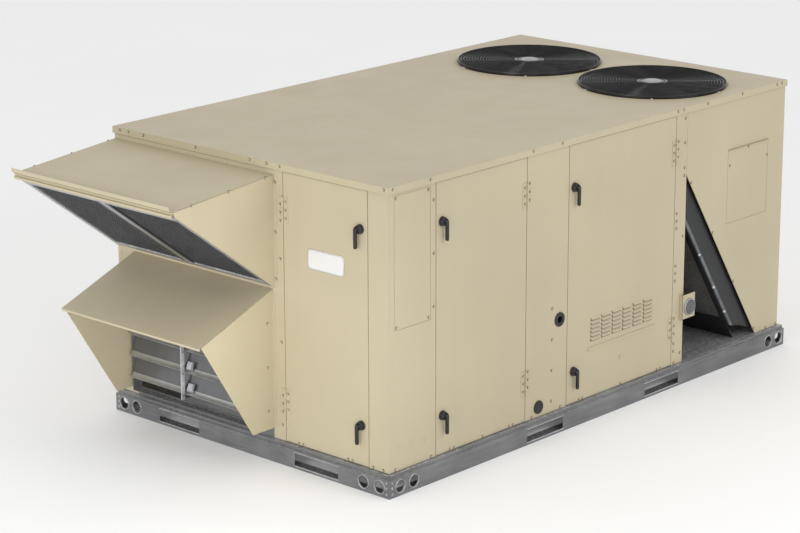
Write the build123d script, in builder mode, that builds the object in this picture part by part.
"""Packaged rooftop air conditioner with two scroll compressors, on a lifting base frame.

Row frame: +X runs along the long door side towards the condenser end, -X is the hood end,
-Y is the door side, +Z is up. The origin is at floor level, below the centre of the
whole outline, hoods included. Millimetres throughout.
"""

from build123d import *
import math
import os

os.makedirs("parts", exist_ok=True)

# ---------------------------------------------------------------- driving dimensions
base_length = 2547.0
base_width = 1518.0
rail_height = 88.0
rail_flange = 60.0
rail_gauge = 3.0
rail_shoulder = 74.0  # the web steps in above this height
shoulder_step = 5.0
unit_height = 1187.0
hood_reach = 515.0  # intake hood tip beyond the base frame
side_inset = 20.0  # rail face to cabinet face, on three sides
coil_end_inset = 27.0  # the same at the condenser end
sheet = 1.5  # painted panel gauge
door_depth = 25.0
panel_depth = 20.0
seam = 3.0  # gap between neighbouring panels
running = 0.05  # radial clearance of a turning shaft

lift_hole_radius = 25.0
lift_hole_height = 38.0
fork_pocket_z = (10.0, 65.0)
fan_count = 2
fan_pitch = 679.0
fan_radius = 292.0
orifice_radius = 302.0
coil_thickness = 60.0
coil_edge_width = 100.0
blade_count = 4
blade_pitch = 90.5
compressor_radius = 92.0
compressor_height = 430.0

# ---------------------------------------------------------------- stations
overall_length = base_length + hood_reach
x_base = hood_reach - overall_length / 2  # hood end of the base frame
y_base = -base_width / 2  # door side of the base frame
x_hood = x_base + side_inset  # cabinet's hood end face
x_coil = x_base + base_length - coil_end_inset  # cabinet's condenser end face
y_front = y_base + side_inset
y_back = -y_front
pan_top = rail_height + rail_gauge
roof_drop = 27.0
roof_overhang = 6.0
panel_top = unit_height - 7.0
door_top = unit_height - roof_drop - seam
door_bottom = pan_top + 2.0

x_corner = x_base + 278.0  # corner panel's right edge
x_blower_hinge = x_base + 803.0
x_mullion = x_base + 1057.0  # mullion's right edge
x_control_hinge = x_base + 1750.0
x_partition = x_base + 1826.0  # edge of the post beside the coil intake
y_corner = y_base + 120.0  # corner panel's back edge
y_end_hinge = y_base + 557.0
fan_x = x_base + 2073.0
fan_y_middle = y_base + 733.0
fan_ys = [fan_y_middle + (k - 0.5) * fan_pitch for k in range(fan_count)]

# the coil intake's three corners in the side panel's plane, as (x, z)
intake_apex = (x_partition + 2.0, 896.0)
intake_foot = (x_base + 2354.0, pan_top)
coil_lean = math.atan2(intake_foot[0] - intake_apex[0], intake_apex[1] - intake_foot[1])

# intake hood section and relief hood section, as (x, z)
hood_top_back = (x_hood - sheet, 1140.0)
hood_tip = (x_base - hood_reach + 12.0, 1094.0)
hood_bottom_back = (x_hood, 694.0)
hood_ys = (y_base + 605.0, y_base + 1490.0)
relief_top_back = (x_hood - sheet, 690.0)
relief_tip = (x_base - 368.0, 540.0)
relief_toe = (x_base - 97.0, 130.0)
relief_ys = (y_base + 620.0, y_base + 1400.0)
damper_ys = (y_base + 650.0, y_base + 1388.0)
damper_zs = (118.0, 560.0)
damper_x = (x_base - 20.0, x_hood)
link_y = y_base + 1060.0
link_x = x_base - 52.0


# ---------------------------------------------------------------- helpers
def save(piece, name):
    """Label a finished piece and write its STEP file."""
    piece.part.label = name
    export_step(piece.part, f"parts/{name}.step")


def block(x, y, z, mode=Mode.ADD):
    """Add or cut a box that spans the pairs x, y and z."""
    with Locations(((x[0] + x[1]) / 2, (y[0] + y[1]) / 2, (z[0] + z[1]) / 2)):
        Box(x[1] - x[0], y[1] - y[0], z[1] - z[0], mode=mode)


def pan(x, y, z, face):
    """Add a folded sheet pan that fills a box: one face, and four edges turned in."""
    spans = [list(x), list(y), list(z)]
    inner = [[low + sheet, high - sheet] for low, high in spans]
    axis = "xy".index(face[1])
    open_end = 1 if face[0] == "-" else 0
    inner[axis][open_end] = spans[axis][open_end]
    block(*spans)
    block(*inner, Mode.SUBTRACT)


def bore_y(x, y, z, radius, mode=Mode.SUBTRACT):
    """Cut or add a round bar along Y, over the pair y."""
    with Locations((x, (y[0] + y[1]) / 2, z)):
        Cylinder(radius, y[1] - y[0], rotation=(90, 0, 0), mode=mode)


def bore_x(x, y, z, radius, mode=Mode.SUBTRACT):
    """Cut or add a round bar along X, over the pair x."""
    with Locations(((x[0] + x[1]) / 2, y, z)):
        Cylinder(radius, x[1] - x[0], rotation=(0, 90, 0), mode=mode)


def slab_xz(points, y, mode=Mode.ADD):
    """Add or cut a flat plate with an (x, z) outline, over the pair y."""
    with BuildSketch(Plane.XZ.offset(-y[1])) as outline:
        with BuildLine():
            Polyline(*points, close=True)
        make_face()
    extrude(outline.sketch, amount=y[1] - y[0], mode=mode)


def folded_sheet(points, y):
    """Add a sheet folded along an open (x, z) path, over the pair y."""
    with BuildSketch(Plane.XZ.offset(-y[1])) as section:
        with BuildLine():
            Polyline(*points)
            offset(amount=sheet, side=Side.LEFT)
        make_face()
    extrude(section.sketch, amount=y[1] - y[0])


def along(start, end, distance, side=0.0):
    """Point at a distance along a line in the XZ plane, moved sideways to its left."""
    length = math.hypot(end[0] - start[0], end[1] - start[1])
    ux = (end[0] - start[0]) / length
    uz = (end[1] - start[1]) / length
    return (start[0] + ux * distance - uz * side, start[1] + uz * distance + ux * side)


# ---------------------------------------------------------------- base frame
def mitred(plane, length, corner, y, z, slack=0.0):
    """Add a bar over the pairs y and z, along the plane's X axis, with mitred ends."""
    near = y[0] - corner + slack
    far = y[1] - corner + slack
    with BuildSketch(plane.offset(z[0])) as bar:
        with BuildLine():
            Polyline((near, y[0]), (length - near, y[0]), (length - far, y[1]), (far, y[1]), close=True)
        make_face()
    extrude(bar.sketch, amount=z[1] - z[0])


def rail(name, plane, length, corner, holes, pockets):
    """A channel with a stepped web on the plane's X axis, and mitred flanges along +Y."""
    band = (shoulder_step, shoulder_step + rail_gauge)
    ledge_z = (rail_shoulder - rail_gauge, rail_shoulder)
    top_z = (rail_height - rail_gauge, rail_height)
    with BuildPart(plane) as channel:
        block((0, length), (0, rail_gauge), (0, rail_shoulder))
        mitred(plane, length, corner, (rail_gauge, rail_flange), (0, rail_gauge))
        mitred(plane, length, corner, (rail_gauge, band[1]), ledge_z)
        mitred(plane, length, corner, band, (ledge_z[0], rail_height), corner_slit)
        mitred(plane, length, corner, (band[1], rail_flange), top_z)
        for x in holes:
            bore_y(x, (-rail_gauge, 2 * rail_gauge), lift_hole_height, lift_hole_radius)
        for x in pockets:
            block(x, (-rail_gauge, 2 * rail_gauge), fork_pocket_z, Mode.SUBTRACT)
    save(channel, name)


corner_slit = 3.0  # extra opening where the upper bands meet
side_holes = (61.0, 136.0, base_length - 117.0, base_length - 42.0)
side_pockets = ((793.0, 1018.0), (1548.0, 1779.0))
end_length = base_width - 2 * rail_gauge
end_holes = (49.0, 131.0, end_length - 121.0, end_length - 45.0)
end_pockets = ((260.0, 494.0), (1024.0, 1256.0))
end_corner = rail_gauge - 1.0  # leaves a narrow open mitre
far_x = x_base + base_length
rail(
    "base_rail_front",
    Plane((x_base, y_base, 0), x_dir=(1, 0, 0)),
    base_length,
    0.0,
    side_holes,
    side_pockets,
)
rail(
    "base_rail_back",
    Plane((far_x, -y_base, 0), x_dir=(-1, 0, 0)),
    base_length,
    0.0,
    [base_length - x for x in side_holes],
    [(base_length - b, base_length - a) for a, b in side_pockets],
)
rail(
    "base_rail_coil_end",
    Plane((far_x, y_base + rail_gauge, 0), x_dir=(0, 1, 0)),
    end_length,
    end_corner,
    end_holes,
    end_pockets,
)
rail(
    "base_rail_hood_end",
    Plane((x_base, -y_base - rail_gauge, 0), x_dir=(0, -1, 0)),
    end_length,
    end_corner,
    [end_length - y for y in end_holes],
    [(end_length - b, end_length - a) for a, b in end_pockets],
)

# base pan, with the return and supply duct openings and two condensate slots
return_x = (x_base + 75.0, x_base + 285.0)
return_y = (-460.0, 460.0)
wheel_x = x_base + 735.0
scroll_radius = 218.0
scroll_half = 165.0
duct_x = (wheel_x - 60.0, wheel_x + scroll_radius)
duct_lap = 4.0
supply_x = (duct_x[0] + duct_lap, duct_x[1] - duct_lap)
supply_y = (-scroll_half + duct_lap, scroll_half - duct_lap)
slot_x = (x_base + 2260.0, x_base + 2340.0)
slot_width = 100.0
slot_side = 90.0  # from the cabinet's face
with BuildPart() as base_pan:
    block((x_hood, x_coil), (y_front, y_back), (rail_height, pan_top))
    block(return_x, return_y, (rail_height, pan_top), Mode.SUBTRACT)
    block(supply_x, supply_y, (rail_height, pan_top), Mode.SUBTRACT)
    for y in (y_front + slot_side, y_back - slot_side - slot_width):
        block(slot_x, (y, y + slot_width), (rail_height, pan_top), Mode.SUBTRACT)
save(base_pan, "base_pan")

# ---------------------------------------------------------------- cabinet panels
roof_x = (x_hood - roof_overhang, x_coil + roof_overhang)
roof_y = (y_front - roof_overhang, y_back + roof_overhang)
orifice_depth = 70.0
bead_radius = 326.0  # rolled bead round each orifice
bead_width = 6.0
bead_rise = 2.5
with BuildPart() as roof:
    block(roof_x, roof_y, (unit_height - roof_drop, unit_height))
    block(
        (roof_x[0] + sheet, roof_x[1] - sheet),
        (roof_y[0] + sheet, roof_y[1] - sheet),
        (unit_height - roof_drop, unit_height - sheet),
        Mode.SUBTRACT,
    )
    with BuildSketch(Plane.XY.offset(unit_height)):
        with Locations(*[(fan_x, y) for y in fan_ys]):
            Circle(orifice_radius + sheet)
    extrude(amount=-orifice_depth)
    with BuildSketch(Plane.XY.offset(unit_height)):
        with Locations(*[(fan_x, y) for y in fan_ys]):
            Circle(orifice_radius)
    extrude(amount=-orifice_depth, mode=Mode.SUBTRACT)
    with BuildSketch(Plane.XY.offset(unit_height)):
        with Locations(*[(fan_x, y) for y in fan_ys]):
            Circle(bead_radius)
            Circle(bead_radius - bead_width, mode=Mode.SUBTRACT)
    extrude(amount=bead_rise)
save(roof, "roof_panel")

# corner panel: an L of sheet round the door-side corner of the hood end
cover_x = (x_base + 51.0, x_base + 250.0)
cover_z = (638.0, 1150.0)
cover_gap = 1.5  # seam round a flush cover
cover_lap = 10.0  # its flange behind the panel
with BuildPart() as corner_panel:
    block((x_hood, x_corner), (y_front, y_front + sheet), (pan_top, panel_top))
    block((x_hood, x_hood + sheet), (y_front, y_corner), (pan_top, panel_top))
    block((x_corner - sheet, x_corner), (y_front, y_front + panel_depth), (pan_top, panel_top))
    block((x_hood, x_hood + panel_depth), (y_corner - sheet, y_corner), (pan_top, panel_top))
    block(cover_x, (y_front, y_front + sheet), cover_z, Mode.SUBTRACT)
save(corner_panel, "corner_panel")


def flush_cover(x, z, corner):
    """Add a cover that sits flush in its opening, with a flange behind the panel."""
    with BuildSketch(Plane.XZ.offset(-y_front)) as face:
        with Locations(((x[0] + x[1]) / 2, (z[0] + z[1]) / 2)):
            RectangleRounded(x[1] - x[0] - 2 * cover_gap, z[1] - z[0] - 2 * cover_gap, corner)
    extrude(face.sketch, amount=-2 * sheet)
    block(
        (x[0] - cover_lap, x[1] + cover_lap),
        (y_front + sheet + 0.1, y_front + 2 * sheet),
        (z[0] - cover_lap, z[1] + cover_lap),
    )


with BuildPart() as corner_cover:
    flush_cover(cover_x, cover_z, 6.0)
save(corner_cover, "corner_access_cover")

# mullion between the two front doors, with a wiring grommet hole and a gas plug hole
grommet_x = x_base + 1009.0
grommet_z = 464.0
grommet_radius = 22.0
plug_x = x_base + 884.0
plug_z = 131.0
plug_radius = 20.0
with BuildPart() as mullion:
    pan(
        (x_blower_hinge + seam / 2, x_mullion),
        (y_front, y_front + panel_depth),
        (pan_top, panel_top),
        "-y",
    )
    bore_y(grommet_x, (y_front - 1, y_front + 3), grommet_z, grommet_radius)
    bore_y(plug_x, (y_front - 1, y_front + 3), plug_z, plug_radius)
save(mullion, "mullion_panel")

cap_proud = 4.0
cap_lip = 7.0
with BuildPart() as grommets:
    bore_y(
        grommet_x,
        (y_front - cap_proud, y_front),
        grommet_z,
        grommet_radius + cap_lip,
        Mode.ADD,
    )
    bore_y(
        grommet_x, (y_front, y_front + 6.0), grommet_z, grommet_radius, Mode.ADD
    )
    bore_y(
        grommet_x, (y_front - cap_proud, y_front + 6.0), grommet_z, grommet_radius - 8.0
    )
    bore_y(plug_x, (y_front - cap_proud, y_front), plug_z, plug_radius + cap_lip, Mode.ADD)
    bore_y(plug_x, (y_front, y_front + 6.0), plug_z, plug_radius, Mode.ADD)
save(grommets, "grommet_and_plug")

# partitions across the cabinet
blower_wall_x = x_mullion - 32.0
with BuildPart() as blower_wall:
    pan(
        (blower_wall_x, blower_wall_x + panel_depth),
        (y_front + door_depth + 5.0, y_back - panel_depth - 5.0),
        (pan_top, panel_top),
        "-x",
    )
save(blower_wall, "blower_partition")

# the post is the folded front edge of the wall that closes the compressor space
wall_top_z = intake_apex[1] - (coil_edge_width + 14.0) / math.sin(coil_lean)
post_x = (x_control_hinge + seam / 2, x_partition)
with BuildPart() as condenser_wall:
    block(post_x, (y_front, y_front + sheet), (pan_top, panel_top))
    block(
        (post_x[0], post_x[0] + sheet),
        (y_front, y_front + panel_depth),
        (pan_top, panel_top),
    )
    block(
        (x_partition - sheet, x_partition),
        (y_front, y_back - panel_depth),
        (pan_top, wall_top_z),
    )
save(condenser_wall, "condenser_partition")

# condenser side panels: a diagonal lower edge leaves the triangular coil intake open
lip_depth = 14.0
hem_width = 12.0
hem_length = 940.0
side_panel_x = x_partition + 1.0
coil_cover_x = (x_base + 2116.0, x_base + 2405.0)
coil_cover_z = (628.0, 950.0)


def coil_side_panel(name, y_face, inward, opening):
    """A side panel with its face at y_face, its edges turned in and its diagonal edge hemmed."""
    face = sorted((y_face, y_face + inward * sheet))
    hem = sorted((y_face + inward * sheet, y_face + 2 * inward * sheet))
    lip = sorted((y_face, y_face + inward * lip_depth))
    toe = (intake_foot[0], pan_top)
    start = (side_panel_x, intake_apex[1])
    with BuildPart() as panel:
        outline = [(side_panel_x, panel_top), (x_coil, panel_top), (x_coil, pan_top), toe, start]
        slab_xz(outline, face)
        hem_line = [
            along(start, toe, hem_width),
            along(start, toe, hem_length),
            along(start, toe, hem_length, hem_width),
            along(start, toe, hem_width, hem_width),
        ]
        slab_xz(hem_line, hem)
        block((x_coil - sheet, x_coil), lip, (pan_top, panel_top))
        block((side_panel_x, x_coil), lip, (panel_top - sheet, panel_top))
        if opening:
            block(coil_cover_x, face, coil_cover_z, Mode.SUBTRACT)
    save(panel, name)


coil_side_panel("coil_side_panel_front", y_front, 1, True)
coil_side_panel("coil_side_panel_back", y_back, -1, False)

# flush cover with a drip lip on the front condenser panel
drip = 7.0
with BuildPart() as coil_cover:
    flush_cover(coil_cover_x, coil_cover_z, 1.0)
    block(
        (coil_cover_x[0] + cover_gap, coil_cover_x[1] - cover_gap),
        (y_front - drip, y_front + sheet),
        (coil_cover_z[1] - cover_gap - sheet, coil_cover_z[1] - cover_gap),
    )
save(coil_cover, "coil_side_cover")

with BuildPart() as coil_end:
    pan(
        (x_coil - panel_depth, x_coil),
        (y_front + lip_depth + 1.0, y_back - lip_depth - 1.0),
        (pan_top, panel_top - sheet),
        "+x",
    )
save(coil_end, "coil_end_panel")

# back wall, in one folded sheet from the hood end to the coil intake
with BuildPart() as back_panel:
    pan((x_hood, x_partition), (y_back - panel_depth, y_back), (pan_top, panel_top), "+y")
save(back_panel, "back_panel")

# hood end wall, open behind the intake hood and the relief damper
intake_y = (hood_ys[0] + 25.0, hood_ys[1] - 25.0)
intake_z = (720.0, 1115.0)
with BuildPart() as hood_wall:
    pan(
        (x_hood, x_hood + panel_depth),
        (y_end_hinge + seam / 2, y_back - panel_depth - 1.0),
        (pan_top, panel_top),
        "-x",
    )
    block((x_hood - 1, x_hood + 3), (intake_y[0], intake_y[1] - 20.0), intake_z, Mode.SUBTRACT)
    block(
        (x_hood - 1, x_hood + 3),
        (damper_ys[0] + 6.0, damper_ys[1] - 6.0),
        (damper_zs[0] + 6.0, damper_zs[1] - 6.0),
        Mode.SUBTRACT,
    )
save(hood_wall, "hood_end_panel")

# ---------------------------------------------------------------- intake hood
tip_drop = 24.0
# the front edge is folded up, then into a drip channel: offsets from the tip as (x, z)
tip_folds = ((-12.0, 22.0), (-9.0, 5.0), (4.0, 1.0), (6.0, -11.0), (-1.0, -13.0), (3.0, -tip_drop))
top_length = math.hypot(hood_top_back[0] - hood_tip[0], hood_top_back[1] - hood_tip[1])
with BuildPart() as hood_top:
    slab_xz(
        [
            hood_top_back,
            hood_tip,
            along(hood_tip, hood_top_back, 0.0, -sheet),
            along(hood_tip, hood_top_back, top_length, -sheet),
        ],
        hood_ys,
    )
    folded_sheet([(hood_tip[0] + x, hood_tip[1] + z) for x, z in tip_folds], hood_ys)
    block((x_hood - sheet, x_hood), hood_ys, (hood_top_back[1] - sheet, door_top))
save(hood_top, "intake_hood_top")

side_clear = 1.0
hood_side_outline = [
    (hood_top_back[0], hood_top_back[1] - sheet - side_clear),
    (hood_tip[0] + 8.0, hood_tip[1] - sheet - side_clear),
    (hood_tip[0] + 20.0, hood_tip[1] - tip_drop),
    hood_bottom_back,
]
flange = 12.0
with BuildPart() as hood_sides:
    slab_xz(hood_side_outline, (hood_ys[0], hood_ys[0] + sheet))
    slab_xz(hood_side_outline, (hood_ys[1] - sheet, hood_ys[1]))
    flange_z = (hood_bottom_back[1] + 8.0, hood_top_back[1] - 30.0)
    block((x_hood - sheet, x_hood), (hood_ys[0] - flange, hood_ys[0] + sheet), flange_z)
save(hood_sides, "intake_hood_sides")

# two mesh filters lie in a frame along the hood's open underside
filter_margin = 20.0
frame_bar = 24.0
frame_depth = 22.0
filter_depth = 16.0
filter_clear = 0.5
sill = hood_side_outline[2]
underside = math.hypot(sill[0] - hood_bottom_back[0], sill[1] - hood_bottom_back[1])
slope = ((sill[0] - hood_bottom_back[0]) / underside, (sill[1] - hood_bottom_back[1]) / underside)
filter_start = along(hood_bottom_back, sill, filter_margin)
filter_run = underside - 2 * filter_margin
filter_y = hood_ys[0] + sheet + side_clear
filter_plane = Plane(
    (filter_start[0], filter_y, filter_start[1]),
    x_dir=(slope[0], 0, slope[1]),
    z_dir=(-slope[1], 0, slope[0]),
)
frame_width = hood_ys[1] - hood_ys[0] - 2 * (sheet + side_clear)
mesh_size = (filter_run - 2 * frame_bar, (frame_width - 3 * frame_bar) / 2)
mesh_pitch = mesh_size[1] + frame_bar
mesh_middles = [(filter_run / 2, mesh_pitch / 2 + frame_bar / 2 + k * mesh_pitch) for k in range(2)]
with BuildPart() as filter_frame:
    with BuildSketch(filter_plane):
        with Locations((filter_run / 2, frame_width / 2)):
            Rectangle(filter_run, frame_width)
        with Locations(*mesh_middles):
            Rectangle(*mesh_size, mode=Mode.SUBTRACT)
    extrude(amount=-frame_depth)
save(filter_frame, "intake_filter_frame")

with BuildPart() as filters:
    with BuildSketch(filter_plane.offset(-3.0)):
        with Locations(*mesh_middles):
            Rectangle(mesh_size[0] - 2 * filter_clear, mesh_size[1] - 2 * filter_clear)
    extrude(amount=-filter_depth)
save(filters, "intake_filters")

# ---------------------------------------------------------------- relief hood and damper
relief_run = math.hypot(relief_top_back[0] - relief_tip[0], relief_top_back[1] - relief_tip[1])
with BuildPart() as relief_top:
    slab_xz(
        [
            relief_top_back,
            relief_tip,
            along(relief_tip, relief_top_back, 0.0, -sheet),
            along(relief_tip, relief_top_back, relief_run, -sheet),
        ],
        relief_ys,
    )
    slab_xz(
        [
            relief_tip,
            (relief_tip[0] + 3.0, relief_tip[1] - 10.0),
            (relief_tip[0] + 3.0 + sheet, relief_tip[1] - 10.0),
            (relief_tip[0] + 2 * sheet, relief_tip[1] - sheet / 2),
        ],
        relief_ys,
    )
    block(
        (x_hood - sheet, x_hood),
        (relief_ys[0] + sheet + side_clear, relief_ys[1] - sheet - side_clear),
        (relief_top_back[1] - 18.0, relief_top_back[1]),
    )
save(relief_top, "relief_hood_top")

relief_outline = [
    (relief_top_back[0], relief_top_back[1] - sheet - side_clear - 1.0),
    (relief_tip[0] + 12.0, relief_tip[1] - sheet - side_clear + 3.0),
    relief_toe,
    (x_hood, relief_toe[1]),
]
with BuildPart() as relief_sides:
    slab_xz(relief_outline, (relief_ys[0], relief_ys[0] + sheet))
    slab_xz(relief_outline, (relief_ys[1] - sheet, relief_ys[1]))
    flange_z = (relief_toe[1] + 8.0, relief_top_back[1] - 20.0)
    block((x_hood - sheet, x_hood), (relief_ys[0] - flange, relief_ys[0] + sheet), flange_z)
    block((x_hood - sheet, x_hood), (relief_ys[1] - sheet, relief_ys[1] + flange), flange_z)
save(relief_sides, "relief_hood_sides")

# blades hang in a galvanised frame and open outwards together
pin_radius = 4.0
pin_x = x_base + 2.0
lowest_lip_z = 178.0
blade_drop = 84.0
blade_lean = math.radians(19.6)
blade_gauge = 1.2
pin_zs = [lowest_lip_z + blade_drop + k * blade_pitch for k in range(blade_count)]
frame_gauge = 2.0
face_gap = sheet + 1.0
with BuildPart() as relief_frame:
    block(
        (x_hood - sheet, x_hood),
        (relief_ys[0] + face_gap, relief_ys[1] - face_gap),
        (pan_top + 1.0, relief_top_back[1] - 22.0),
    )
    block(damper_x, damper_ys, damper_zs)
    block(
        damper_x,
        (damper_ys[0] + frame_gauge, damper_ys[1] - frame_gauge),
        (damper_zs[0] + frame_gauge, damper_zs[1] - frame_gauge),
        Mode.SUBTRACT,
    )
    for z in pin_zs:
        bore_y(pin_x, damper_ys, z, pin_radius + running)
save(relief_frame, "relief_frame")

blade_clear = 3.0
blade_ys = (damper_ys[0] + frame_gauge + blade_clear, damper_ys[1] - frame_gauge - blade_clear)
for index, z in enumerate(pin_zs):
    foot = (pin_x - blade_drop * math.sin(blade_lean), z - blade_drop * math.cos(blade_lean))
    lip_end = (foot[0] - 11.0, foot[1] - 2.0)
    arm_z = z - blade_drop
    with BuildPart() as blade:
        bore_y(pin_x, (damper_ys[0], damper_ys[1]), z, pin_radius, Mode.ADD)
        slab_xz(
            [
                (pin_x - blade_gauge / 2, z),
                (foot[0] - blade_gauge / 2, foot[1] + blade_gauge),
                (lip_end[0], lip_end[1] + blade_gauge),
                lip_end,
                (foot[0] + blade_gauge, foot[1]),
                (pin_x + blade_gauge / 2, z),
            ],
            blade_ys,
        )
        slab_xz(
            [
                (pin_x - 2.0, z),
                (foot[0] + 2.0, foot[1] + 4.0),
                (foot[0] - 4.0, foot[1] - 1.0),
                (link_x, arm_z - 8.0),
                (link_x - 6.0, arm_z),
                (link_x, arm_z + 8.0),
            ],
            (link_y, link_y + frame_gauge),
        )
        bore_y(link_x, (link_y - 6.0, link_y + frame_gauge), arm_z, 3.0, Mode.ADD)
    save(blade, f"relief_blade_{index + 1}")

link_z = (pin_zs[0] - blade_drop - 16.0, pin_zs[-1] - blade_drop + 20.0)
with BuildPart() as link:
    block((link_x - 9.0, link_x + 9.0), (link_y - 4.0, link_y - 0.5), link_z)
    for z in pin_zs:
        bore_y(link_x, (link_y - 5.0, link_y), z - blade_drop, 3.0 + running)
save(link, "relief_link")

# ---------------------------------------------------------------- doors, hinges, handles
knuckle_radius = 3.6
hinge_pin_radius = 2.0
hinge_stand = 4.0  # pin axis in front of the door face
leaf_height = 104.0
leaf_width = 26.0
leaf_gauge = 1.5
knuckles = 5
latch_bore = 6.5
latch_shaft = 6.4
end_door_zs = (1010.0, 252.0)
blower_door_zs = (1007.0, 249.0)
control_door_zs = (1004.0, 247.0)
end_latches = ((y_base + 159.0, 1009.0), (y_base + 158.0, 250.0))
blower_latches = ((x_base + 313.0, 1005.0), (x_base + 315.0, 246.0))
control_latches = ((x_base + 1091.0, 986.0), (x_base + 1098.0, 227.0))

with BuildPart() as end_door:
    pan(
        (x_hood, x_hood + door_depth),
        (y_corner + seam, y_end_hinge - seam / 2),
        (door_bottom, door_top),
        "-x",
    )
    for y, z in end_latches:
        bore_x((x_hood - 1, x_hood + 3), y, z, latch_bore)
save(end_door, "end_door")

with BuildPart() as blower_door:
    pan(
        (x_corner + seam, x_blower_hinge - seam / 2),
        (y_front, y_front + door_depth),
        (door_bottom, door_top),
        "-y",
    )
    for x, z in blower_latches:
        bore_y(x, (y_front - 1, y_front + 3), z, latch_bore)
save(blower_door, "blower_door")

# the control door has a bank of louvres, open downwards, and a stiffening rib below them
louvre_columns = 6
louvre_rows = 6
louvre_x = (x_base + 1203.0, x_base + 1615.0)
louvre_z = (322.0, 425.0)
louvre_pitch = (
    (louvre_x[1] - louvre_x[0]) / louvre_columns,
    (louvre_z[1] - louvre_z[0]) / louvre_rows,
)
louvre_width = 58.0
louvre_proud = 6.0
louvre_tall = 10.0
rib_z = 294.0
drain_plug_x = x_base + 1407.0
drain_plug_z = 214.0
with BuildPart() as control_door:
    pan(
        (x_mullion + seam, x_control_hinge - seam / 2),
        (y_front, y_front + door_depth),
        (door_bottom, door_top),
        "-y",
    )
    for x, z in control_latches:
        bore_y(x, (y_front - 1, y_front + 3), z, latch_bore)
    for column in range(louvre_columns):
        middle = louvre_x[0] + (column + 0.5) * louvre_pitch[0]
        for row in range(louvre_rows):
            top = louvre_z[0] + (row + 1) * louvre_pitch[1]
            block(
                (middle - louvre_width / 2 + 2, middle + louvre_width / 2 - 2),
                (y_front - 1, y_front + 3),
                (top - louvre_tall + 1, top - 3.0),
                Mode.SUBTRACT,
            )
        with BuildSketch(Plane.YZ.offset(middle - louvre_width / 2)):
            for row in range(louvre_rows):
                top = louvre_z[0] + (row + 1) * louvre_pitch[1]
                with BuildLine():
                    Polyline(
                        (y_front, top),
                        (y_front - louvre_proud + 1.5, top - 4.0),
                        (y_front - louvre_proud, top - louvre_tall),
                        (y_front - louvre_proud + 1.2, top - louvre_tall),
                        (y_front - louvre_proud + 2.7, top - 4.8),
                        (y_front, top - 2.0),
                        close=True,
                    )
                make_face()
        extrude(amount=louvre_width)
    block(
        (louvre_x[0] - 11.0, louvre_x[1] + 10.0),
        (y_front - 3.0, y_front),
        (rib_z - 6.0, rib_z + 6.0),
    )
    bore_y(drain_plug_x, (y_front - 3.0, y_front), drain_plug_z, 9.0, Mode.ADD)
save(control_door, "control_door")


def hinge_plane(position, facing):
    """A plane on a hinge's pin: X towards the fixed leaf, Y out of the cabinet, Z up."""
    out = Vector(0, -1, 0) if facing == "front" else Vector(-1, 0, 0)
    fixed_side = Vector(1, 0, 0) if facing == "front" else Vector(0, 1, 0)
    return Plane(position, x_dir=fixed_side, z_dir=fixed_side.cross(out))


def leaf(side, hinge_z, sign):
    """Add one leaf with its knuckles; side 0 is fixed and has the odd knuckles."""
    pitch = leaf_height / knuckles
    reach = (0.0, leaf_width) if sign > 0 else (-leaf_width, 0.0)
    block(
        reach,
        (-hinge_stand, -hinge_stand + leaf_gauge),
        (hinge_z - leaf_height / 2, hinge_z + leaf_height / 2),
    )
    for k in range(knuckles):
        low = hinge_z - leaf_height / 2 + k * pitch
        mine = (k + side) % 2 == 0
        span = (low + 0.3, low + pitch - 0.3) if mine else (low - 0.3, low + pitch + 0.3)
        with Locations((0, 0, (span[0] + span[1]) / 2)):
            Cylinder(
                knuckle_radius if mine else knuckle_radius + 1.0,
                span[1] - span[0],
                mode=Mode.ADD if mine else Mode.SUBTRACT,
            )
    with Locations((0, 0, hinge_z)):
        Cylinder(hinge_pin_radius + running, leaf_height + 2, mode=Mode.SUBTRACT)


hinge_sets = {
    "end_door": ((x_hood - hinge_stand, y_end_hinge, 0), "end", end_door_zs),
    "blower_door": ((x_blower_hinge, y_front - hinge_stand, 0), "front", blower_door_zs),
    "control_door": ((x_control_hinge, y_front - hinge_stand, 0), "front", control_door_zs),
}
for door, (position, facing, heights) in hinge_sets.items():
    up = hinge_plane(position, facing).z_dir.Z
    with BuildPart(hinge_plane(position, facing)) as door_leaves:
        for z in heights:
            leaf(1, z * up, -1)
    save(door_leaves, f"{door}_hinges")

fixed_leaves = []
for door, (position, facing, heights) in hinge_sets.items():
    up = hinge_plane(position, facing).z_dir.Z
    with BuildPart(hinge_plane(position, facing)) as one_door:
        for z in heights:
            leaf(0, z * up, 1)
        for z in heights:
            with Locations((0, 0, z * up)):
                Cylinder(hinge_pin_radius, leaf_height)
    fixed_leaves.append(one_door.part)
with BuildPart() as cabinet_hinges:
    add(fixed_leaves)
save(cabinet_hinges, "cabinet_hinges")

hub_radius = 19.0
hub_height = 16.0
lever_half = 7.0
lever_side = 9.0  # lever's middle beside the hub's
lever_drop = 67.5


def handle(name, plane, side):
    """A quarter-turn latch: shaft through the door, round hub, and a lever hanging down beside it."""
    with BuildPart(plane) as latch:
        with Locations((0, 0, -door_depth / 2 + 1.0)):
            Cylinder(latch_shaft, door_depth + 2.0)
        with BuildSketch(plane.offset(1.0)):
            Circle(hub_radius)
        extrude(amount=hub_height)
        with BuildSketch(plane.offset(hub_height - 4.0)):
            with Locations((side * lever_side, -lever_drop / 2)):
                SlotCenterToCenter(lever_drop, 2 * lever_half, rotation=90)
        extrude(amount=11.0)
        with BuildSketch(plane.offset(-door_depth)):
            with Locations((0, -9.0)):
                Rectangle(18.0, 36.0)
        extrude(amount=4.0)
    save(latch, name)


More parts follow.
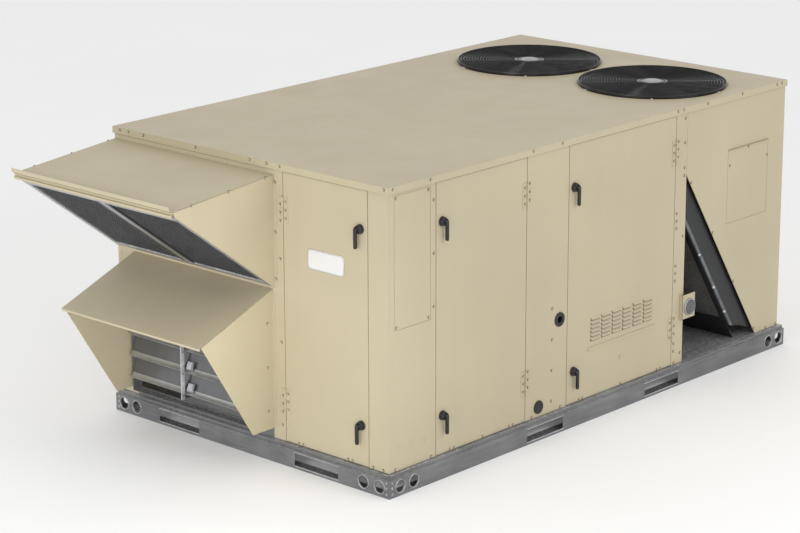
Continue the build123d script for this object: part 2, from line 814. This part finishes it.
for index, (y, z) in enumerate(end_latches):
    latch_plane = Plane((x_hood, y, z), x_dir=(0, -1, 0), z_dir=(-1, 0, 0))
    handle(f"end_door_handle_{index + 1}", latch_plane, -1)
for door, latches in (("blower_door", blower_latches), ("control_door", control_latches)):
    for index, (x, z) in enumerate(latches):
        latch_plane = Plane((x, y_front, z), x_dir=(1, 0, 0), z_dir=(0, -1, 0))
        handle(f"{door}_handle_{index + 1}", latch_plane, 1)

# ---------------------------------------------------------------- condenser section
# the coil slab leans with the intake's diagonal and reaches from its support sheet to the roof
coil_top_z = unit_height - 40.0
coil_foot = 188.0
plate_gap = 14.0  # side panel to the end cover's face
plate_gauge = 2.0
plate_bend = 20.0
plate_lap = 20.0  # end cover hidden behind the side panel
sheet_gap = plate_gap + plate_bend  # side panel to the tube sheet


def on_lean(z, offset):
    """Point on the leaning line at height z, moved square to it, down and to the left."""
    x = intake_apex[0] + (intake_apex[1] - z) * math.tan(coil_lean)
    return (x - offset / math.cos(coil_lean), z)


def lean_band(low_z, high_z, near, far):
    """Four corners of a band beside the leaning line."""
    return [on_lean(low_z, near), on_lean(high_z, near), on_lean(high_z, far), on_lean(low_z, far)]


coil_far = coil_edge_width - 2 * plate_gauge
sheet_y = (y_front + sheet_gap, y_front + sheet_gap + plate_gauge)
coil_y = (sheet_y[1], -sheet_y[1])
with BuildPart() as coil:
    slab_xz(lean_band(coil_foot, coil_top_z, coil_far - coil_thickness, coil_far), coil_y)
save(coil, "condenser_coil")

# each end has a tube sheet, and in front of it a rounded cover that fills the triangular opening
cover_start = on_lean(0.0, 0.0)
cover_plane = Plane(
    (cover_start[0], y_front + plate_gap, cover_start[1]),
    x_dir=(math.cos(coil_lean), 0, math.sin(coil_lean)),
    z_dir=(-math.sin(coil_lean), 0, math.cos(coil_lean)),
)
bend_x = plate_bend - coil_edge_width
arc_share = math.sqrt(0.5)
inner_bend = plate_bend - plate_gauge
# the cover's lower edge, and everything below it, is cut away
below_cover = [
    (x_base + 2000.0, 172.0),
    (x_base + 2100.0, 172.0),
    (x_base + 2240.0, 152.0),
    (x_base + 2420.0, 90.0),
    (x_base + 2700.0, -100.0),
    (x_base + 2000.0, -100.0),
]
with BuildPart() as end_plates:
    with BuildSketch(cover_plane) as profile:
        with BuildLine():
            Line((plate_lap, 0), (bend_x, 0))
            ThreePointArc(
                (bend_x, 0),
                (bend_x - plate_bend * arc_share, plate_bend * (1 - arc_share)),
                (-coil_edge_width, plate_bend),
            )
            Line((-coil_edge_width, plate_bend), (-coil_edge_width, 2 * plate_bend))
            Line((-coil_edge_width, 2 * plate_bend), (plate_gauge - coil_edge_width, 2 * plate_bend))
            Line((plate_gauge - coil_edge_width, 2 * plate_bend), (plate_gauge - coil_edge_width, plate_bend))
            ThreePointArc(
                (plate_gauge - coil_edge_width, plate_bend),
                (bend_x - inner_bend * arc_share, plate_bend - inner_bend * arc_share),
                (bend_x, plate_gauge),
            )
            Line((bend_x, plate_gauge), (plate_lap, plate_gauge))
            Line((plate_lap, plate_gauge), (plate_lap, 0))
        make_face()
    extrude(profile.sketch, amount=unit_height)
    cut_y = (y_front + plate_gap - 1.0, y_front + sheet_gap + 2 * plate_bend)
    block((x_base + 1000.0, side_panel_x), cut_y, (0.0, 2 * unit_height), Mode.SUBTRACT)
    slab_xz(below_cover, cut_y, Mode.SUBTRACT)
    tube_sheet = lean_band(coil_foot, coil_top_z, coil_far - coil_thickness, coil_far + plate_gauge + 0.5)
    slab_xz(tube_sheet, sheet_y)
    mirror(about=Plane.XZ)
    support = lean_band(pan_top, coil_foot + plate_gauge, coil_far, coil_far + plate_gauge)
    slab_xz(support, (sheet_y[0], -sheet_y[0]))
save(end_plates, "coil_end_plates")

# fans hang below the roof; each motor hangs from the middle of its wire guard
guard_low = unit_height + 12.0
guard_bar = 4.0
guard_radius = orifice_radius + 14.0
guard_rings = 11
guard_spokes = 12
hub_plate_radius = 50.0
ring_pitch = (guard_radius - hub_plate_radius) / guard_rings
spoke_length = guard_radius - hub_plate_radius + guard_bar / 2
spoke_middle = (guard_radius + hub_plate_radius - 1.5 * guard_bar) / 2
skirt = 2.0
with BuildPart() as guards:
    for y in fan_ys:
        with BuildSketch(Plane((fan_x, y, guard_low))):
            Circle(guard_radius)
            for ring in range(guard_rings):
                Circle(guard_radius - ring * ring_pitch - guard_bar, mode=Mode.SUBTRACT)
                Circle(guard_radius - (ring + 1) * ring_pitch)
            with PolarLocations(spoke_middle, guard_spokes):
                Rectangle(spoke_length, guard_bar)
        extrude(amount=guard_bar)
        with BuildSketch(Plane((fan_x, y, unit_height))):
            Circle(guard_radius - guard_bar / 4)
            Circle(guard_radius - guard_bar / 4 - skirt, mode=Mode.SUBTRACT)
        extrude(amount=guard_low - unit_height + 1.0)
save(guards, "fan_guards")

motor_radius = 66.0
motor_bottom = 1080.0
shaft_radius = 8.0
shaft_bottom = 1052.0
with BuildPart() as motors:
    for y in fan_ys:
        with BuildSketch(Plane.XY.offset(motor_bottom)):
            with Locations((fan_x, y)):
                Circle(motor_radius)
        extrude(amount=guard_low - motor_bottom)
        with BuildSketch(Plane.XY.offset(shaft_bottom)):
            with Locations((fan_x, y)):
                Circle(shaft_radius)
        extrude(amount=motor_bottom - shaft_bottom)
save(motors, "fan_motors")

fan_blades = 5
cup_radius = 86.0
cup_bottom = 1060.0
cup_top = 1150.0
cup_wall = 8.0
fan_blade_gauge = 3.0
blade_pitch_angle = 27.0
for index, y in enumerate(fan_ys):
    with BuildPart(Plane((fan_x, y, 0))) as fan:
        with Locations((0, 0, (cup_bottom + cup_top) / 2)):
            Cylinder(cup_radius, cup_top - cup_bottom)
        with Locations((0, 0, (cup_bottom + cup_top) / 2 + cup_wall)):
            Cylinder(cup_radius - cup_wall, cup_top - cup_bottom, mode=Mode.SUBTRACT)
        with Locations((0, 0, cup_bottom)):
            Cylinder(shaft_radius + running, 4 * cup_wall, mode=Mode.SUBTRACT)
        for k in range(fan_blades):
            turn = 2 * math.pi * k / fan_blades
            radial = Vector(math.cos(turn), math.sin(turn), 0)
            tangent = Vector(-math.sin(turn), math.cos(turn), 0)
            tilt = math.radians(blade_pitch_angle)
            normal = Vector(0, 0, math.cos(tilt)) + tangent * math.sin(tilt)
            root = Vector(fan_x, y, 1106.0) + radial * (cup_radius - 4.0)
            with BuildSketch(Plane(root, x_dir=radial, z_dir=normal)):
                with BuildLine():
                    span = fan_radius - cup_radius - 6.0
                    Spline((0, -38), (span * 0.5, -78), (span - 4, -118))
                    Line((span - 4, -118), (span - 4, 62))
                    Spline((span - 4, 62), (span * 0.5, 54), (0, 36))
                    Line((0, 36), (0, -38))
                make_face()
            extrude(amount=fan_blade_gauge)
    save(fan, f"condenser_fan_{index + 1}")

# ---------------------------------------------------------------- compressor section
compressor_xs = (x_base + 1290.0, x_base + 1600.0)
compressor_y = -330.0
grommet_height = 14.0
foot_square = 190.0
foot_gauge = 4.0
dome_rise = 38.0
stub_radius = 9.0
stub_z = (pan_top + 130.0, pan_top + 380.0)
stub_reach = 26.0
for index, x in enumerate(compressor_xs):
    foot_z = pan_top + grommet_height
    with BuildPart(Plane((x, compressor_y, 0))) as compressor:
        with Locations((0, 0, foot_z + foot_gauge + compressor_height / 2)):
            Cylinder(compressor_radius, compressor_height)
        fillet(compressor.edges().group_by(Axis.Z)[-1], dome_rise)
        chamfer(compressor.edges().group_by(Axis.Z)[0], 16.0)
        with Locations((0, 0, foot_z + foot_gauge / 2)):
            Box(foot_square, foot_square, foot_gauge)
        with Locations((0, 0, pan_top + grommet_height / 2)):
            with GridLocations(156.0, 156.0, 2, 2):
                Cylinder(13.0, grommet_height)
        with Locations((0, -compressor_radius - 6.0, pan_top + 250.0)):
            Box(90.0, 44.0, 80.0)
        for z in stub_z:
            with Locations((0, compressor_radius + stub_reach / 2 - 4.0, z)):
                Cylinder(stub_radius, stub_reach, rotation=(90, 0, 0))
    save(compressor, f"scroll_compressor_{index + 1}")

# suction and discharge lines run back from each compressor, then along to the coil
pipe_radius = 8.0
pipe_start_y = compressor_y + compressor_radius + stub_reach - 4.0
pipe_runs = []
for x, back in zip(compressor_xs, (60.0, 120.0)):
    pipe_runs.append(
        [
            (x, pipe_start_y, stub_z[0]),
            (x, pipe_start_y + back, stub_z[0]),
            (x, pipe_start_y + back, 170.0),
            (x_partition - sheet, pipe_start_y + back, 170.0),
        ]
    )
    pipe_runs.append(
        [
            (x, pipe_start_y, stub_z[1]),
            (x, pipe_start_y + back, stub_z[1]),
            (x, pipe_start_y + back, 560.0),
            (x_partition - sheet, pipe_start_y + back, 560.0),
        ]
    )
pipes_made = []
for run in pipe_runs:
    with BuildPart() as pipe:
        with BuildLine() as route:
            FilletPolyline(*run, radius=22.0)
        with BuildSketch(Plane(run[0], z_dir=(0, 1, 0))):
            Circle(pipe_radius)
        sweep(path=route.wires()[0])
    pipes_made.append(pipe.part)
with BuildPart() as pipes:
    add(pipes_made)
save(pipes, "refrigerant_pipes")

# electrical box behind the control door
box_x = (x_mullion + 40.0, x_control_hinge - 205.0)
box_y = (y_front + door_depth + 8.0, y_front + door_depth + 128.0)
box_z = (600.0, 1120.0)
# contactors, transformer and control board: middle x and z in the box, width and height
device_sizes = (
    (72.0, 374.0, 90.0, 70.0),
    (152.0, 374.0, 60.0, 70.0),
    (251.0, 364.0, 120.0, 90.0),
    (367.0, 354.0, 100.0, 150.0),
)
device_depth = 62.0
with BuildPart() as control_box:
    block(box_x, box_y, box_z)
    block(
        (box_x[0] + sheet, box_x[1] - sheet),
        (box_y[0] - 1, box_y[1] - sheet),
        (box_z[0] + sheet, box_z[1] - sheet),
        Mode.SUBTRACT,
    )
    for middle_x, middle_z, wide, tall in device_sizes:
        block(
            (box_x[0] + middle_x - wide / 2, box_x[0] + middle_x + wide / 2),
            (box_y[1] - device_depth, box_y[1] - sheet / 2),
            (box_z[0] + middle_z - tall / 2, box_z[0] + middle_z + tall / 2),
        )
    block(
        (box_x[0] + 60, box_x[1] - 60),
        (box_y[1] - 30.0, box_y[1] - sheet / 2),
        (box_z[0] + 90, box_z[0] + 130),
    )
save(control_box, "control_box")

# ---------------------------------------------------------------- indoor air section
filter_bank_x = (x_base + 305.0, x_base + 355.0)
filter_bank_z = (pan_top, pan_top + 1000.0)
inner_y = (y_front + door_depth + 6.0, y_back - panel_depth - 2.0)
filter_bank_count = 3
bank_width = (inner_y[1] - inner_y[0]) / filter_bank_count
with BuildPart() as supply_filters:
    for k in range(filter_bank_count):
        low = inner_y[0] + k * bank_width
        block(filter_bank_x, (low + 0.5, low + bank_width - 0.5), filter_bank_z)
save(supply_filters, "supply_filters")

evaporator_x = (x_base + 385.0, x_base + 455.0)
with BuildPart() as evaporator:
    block(evaporator_x, inner_y, (pan_top + 45.0, pan_top + 1010.0))
    block((evaporator_x[0] - 12, evaporator_x[1] + 12), inner_y, (pan_top, pan_top + 45.0))
    block(
        (evaporator_x[0] - 9, evaporator_x[1] + 9),
        (inner_y[0] + 3, inner_y[1] - 3),
        (pan_top + 3.0, pan_top + 42.0),
        Mode.SUBTRACT,
    )
save(evaporator, "evaporator_coil")

# double-inlet blower, discharging down through the supply opening
wheel_z = 560.0
wheel_radius = 160.0
wheel_half = 140.0
inlet_radius = 132.0
with BuildPart() as housing:
    for grow, half, mode in ((0.0, scroll_half, Mode.ADD), (-sheet, scroll_half - sheet, Mode.SUBTRACT)):
        with BuildSketch(Plane.XZ.offset(-half)):
            with Locations((wheel_x, wheel_z)):
                Circle(scroll_radius + grow)
            with Locations(((duct_x[0] + duct_x[1]) / 2, (wheel_z + pan_top + grow) / 2)):
                Rectangle(duct_x[1] - duct_x[0] + 2 * grow, wheel_z - pan_top - grow)
        extrude(amount=2 * half, mode=mode)
    bore_y(wheel_x, (-scroll_half - 1, scroll_half + 1), wheel_z, inlet_radius)
save(housing, "blower_housing")

wheel_blades = 36
wheel_shaft = 10.0
with BuildPart() as wheel:
    for low in (-wheel_half, wheel_half - 6.0):
        with BuildSketch(Plane.XZ.offset(-low - 6.0)):
            with Locations((wheel_x, wheel_z)):
                Circle(wheel_radius)
                Circle(wheel_radius - 26.0, mode=Mode.SUBTRACT)
        extrude(amount=6.0)
    with BuildSketch(Plane.XZ.offset(-wheel_half + 3.0)):
        with Locations((wheel_x, wheel_z)):
            with PolarLocations(wheel_radius - 14.0, wheel_blades):
                Rectangle(22.0, 2.0)
    extrude(amount=2 * wheel_half - 6.0)
    with BuildSketch(Plane.XZ.offset(-2.0)):
        with Locations((wheel_x, wheel_z)):
            Circle(wheel_radius - 8.0)
    extrude(amount=4.0)
    with BuildSketch(Plane.XZ.offset(-20.0)):
        with Locations((wheel_x, wheel_z)):
            Circle(28.0)
    extrude(amount=40.0)
    bore_y(wheel_x, (-30, 30), wheel_z, wheel_shaft + running)
save(wheel, "blower_wheel")

motor_reach = scroll_half + 40.0
arm_gauge = 5.0
with BuildPart() as blower_motor:
    bore_y(wheel_x, (-motor_reach, -30.0), wheel_z, 68.0, Mode.ADD)
    bore_y(wheel_x, (-30.0, 26.0), wheel_z, wheel_shaft, Mode.ADD)
    for k in range(3):
        turn = math.radians(90.0 + 120.0 * k)
        arm_plane = Plane(
            (wheel_x, -scroll_half, wheel_z),
            x_dir=(math.cos(turn), 0, math.sin(turn)),
            z_dir=(0, -1, 0),
        )
        with BuildSketch(arm_plane):
            with Locations((105.0, 0)):
                Rectangle(110.0, 26.0)
        extrude(amount=arm_gauge)
save(blower_motor, "blower_motor")

# ---------------------------------------------------------------- small outside pieces
sensor_x = x_base + 1844.0
sensor_z = 331.0
sensor_radius = 35.5
sensor_depth = 10.0
bracket_x = (x_base + 1801.0, x_base + 1886.0)
bracket_z = (282.0, 386.0)
bracket_y = (y_front - 15.0 - sheet, y_front - 15.0)
with BuildPart() as sensor:
    block(bracket_x, bracket_y, bracket_z)
    block((bracket_x[0], bracket_x[0] + sheet), (bracket_y[0], y_front), bracket_z)
    block((bracket_x[0], x_partition - 2.0), (y_front - sheet, y_front), bracket_z)
    bore_y(sensor_x, (bracket_y[0] - sensor_depth, bracket_y[0]), sensor_z, sensor_radius, Mode.ADD)
save(sensor, "outdoor_sensor")

# hex washer-head screws round the roof lip and the fixed panels
head_height = 4.0
head_width = 4.4
washer = 6.0


def screws(plane, points):
    """Add screw heads that stand out of a plane, each at a local (x, y)."""
    with BuildSketch(plane) as washers:
        with Locations(*points):
            Circle(washer)
    extrude(washers.sketch, amount=1.2)
    with BuildSketch(plane) as heads:
        with Locations(*points):
            RegularPolygon(head_width, 6)
    extrude(heads.sketch, amount=head_height)


def front_plane(y):
    """A plane that faces the door side: local X is the row's X, local Y its Z."""
    return Plane((0, y, 0), x_dir=(1, 0, 0), z_dir=(0, -1, 0))


def back_plane(y):
    return Plane((0, y, 0), x_dir=(-1, 0, 0), z_dir=(0, 1, 0))


def hood_end_plane(x):
    """A plane that faces the hood end: local X runs against the row's Y."""
    return Plane((x, 0, 0), x_dir=(0, -1, 0), z_dir=(-1, 0, 0))


def coil_end_plane(x):
    return Plane((x, 0, 0), x_dir=(0, 1, 0), z_dir=(1, 0, 0))


# distances along the base, from its hood end or its door side
lip_z = unit_height - 9.0
front_lip = (40.0, 244.0, 833.0, 1010.0, 1752.0, 1791.0, 1955.0, 2200.0, 2451.0, 2487.0)
end_lip = (36.0, 568.0, 636.0, 727.0, 1025.0, 1323.0, 1410.0, 1461.0)
seam_x = x_base + 268.0
seam_zs = (685.0, 890.0, 1095.0)
skirt_z = pan_top + 7.0
mullion_x = x_base + 965.0
mullion_zs = [135.0 + k * 127.5 for k in range(4)]
post_left_x = x_base + 1766.0
post_left_zs = (149.0, 182.0, 455.0, 487.0, 520.0, 680.0, 712.0, 743.0)
post_right_x = x_base + 1812.0
post_right_zs = (133.0, 639.0, 897.0, 930.0, 1036.0, 1138.0)
diagonal = [along(intake_apex, intake_foot, 50.0 + k * 295.0, 6.0) for k in range(4)]
cover_screws = [(x_base + x, z) for x, z in ((2263.0, 940.0), (2401.0, 879.0), (2132.0, 879.0))]
access_screws = [(x, z) for x in (x_base + 62.0, x_base + 239.0) for z in (649.0, 1139.0)]
skirt_screws = [(x_base + x, skirt_z) for x in (55.0, 253.0, 846.0, 1022.0, 1770.0, 2435.0, 2510.0)]
face_screws = [(seam_x, z) for z in seam_zs] + [(mullion_x, z) for z in mullion_zs]
face_screws += [(post_left_x, z) for z in post_left_zs] + [(post_right_x, z) for z in post_right_zs]
hood_edge = [along(hood_top_back, hood_tip, 41.0 + k * 190.0, 3.0) for k in range(3)]
back_columns = [(x_base + x, 150.0 + k * 235.0) for x in (40.0, 620.0, 1210.0, 1800.0) for k in range(5)]
end_columns = [(y, 150.0 + k * 235.0) for y in (y_front + 40.0, 0.0, y_back - 40.0) for k in range(5)]
with BuildPart() as cabinet_screws:
    screws(front_plane(roof_y[0]), [(x_base + x, lip_z) for x in front_lip])
    screws(back_plane(roof_y[1]), [(-x_base - x, lip_z) for x in front_lip])
    screws(hood_end_plane(roof_x[0]), [(-y_base - y, lip_z) for y in end_lip])
    screws(coil_end_plane(roof_x[1]), [(y_base + y, lip_z) for y in end_lip])
    screws(front_plane(y_front), face_screws + diagonal + cover_screws + access_screws + skirt_screws)
    screws(back_plane(y_back), [(-x, z) for x, z in back_columns + diagonal])
    screws(coil_end_plane(x_coil), end_columns)
    screws(front_plane(y_front - sheet), [(post_right_x, z) for z in (292.0, 376.0)])
    screws(hood_end_plane(x_hood - sheet), [(-hood_ys[0] + 6.5, z) for z in (733.0, 917.0, 1110.0)])
    screws(hood_end_plane(x_hood), [(-y_base - 576.0, z) for z in (152.0, 485.0, 816.0)])
    screws(hood_end_plane(x_hood), [(-y_base - y, skirt_z) for y in (50.0, 101.0)])
    screws(front_plane(hood_ys[0]), hood_edge)
    screws(back_plane(hood_ys[1]), [(-x, z) for x, z in hood_edge])
    screws(front_plane(relief_ys[0]), [(x_base - 10.0, z) for z in (205.0, 381.0, 557.0)])
save(cabinet_screws, "cabinet_screws")
